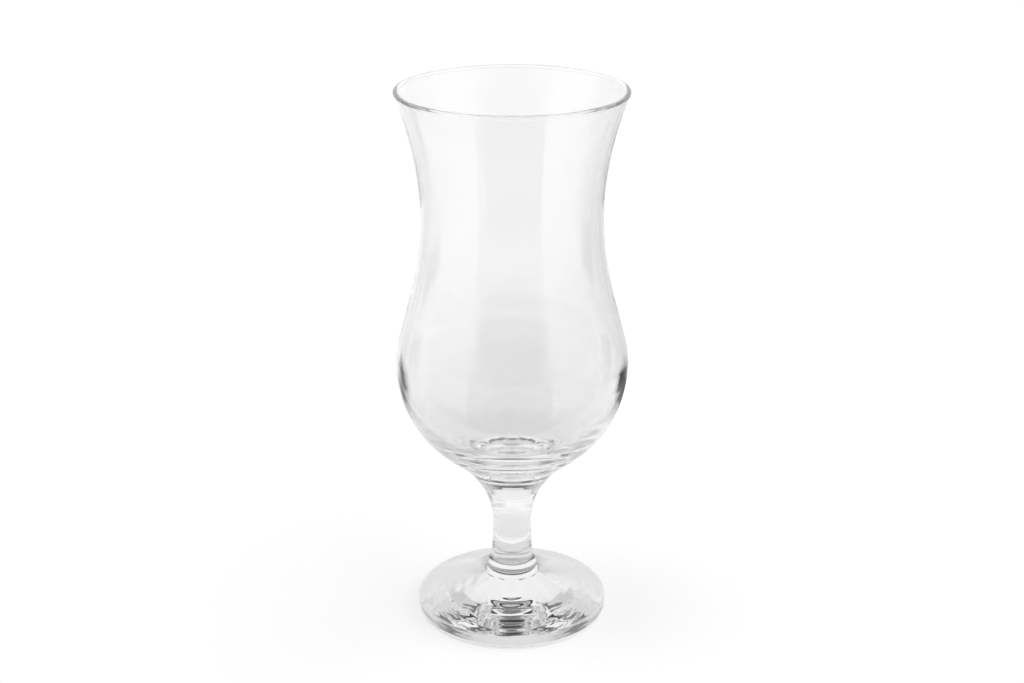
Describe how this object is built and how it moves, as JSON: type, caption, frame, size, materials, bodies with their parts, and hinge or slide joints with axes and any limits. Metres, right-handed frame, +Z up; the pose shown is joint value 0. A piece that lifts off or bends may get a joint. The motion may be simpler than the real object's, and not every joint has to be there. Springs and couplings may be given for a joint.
{
  "type": "hurricane glass",
  "caption": "Tall footed cocktail glass of clear glass, tulip shaped with a round belly, drawn-in neck and flared rim, on a short waisted stem with a collar and a disc foot.",
  "frame": {"origin": "centre of the plane that the foot rests on", "axes": "+Z up along the glass's axis of revolution; X and Y are alike, because the glass is round"},
  "size_m": [0.0866, 0.0866, 0.205],
  "materials": {
    "clear_glass": "clear colourless soda-lime glass, fire polished"
  },
  "bodies": {
    "root": {"foot": "clear_glass", "collar": "clear_glass", "stem": "clear_glass", "bowl": "clear_glass"}
  },
  "joints": []
}
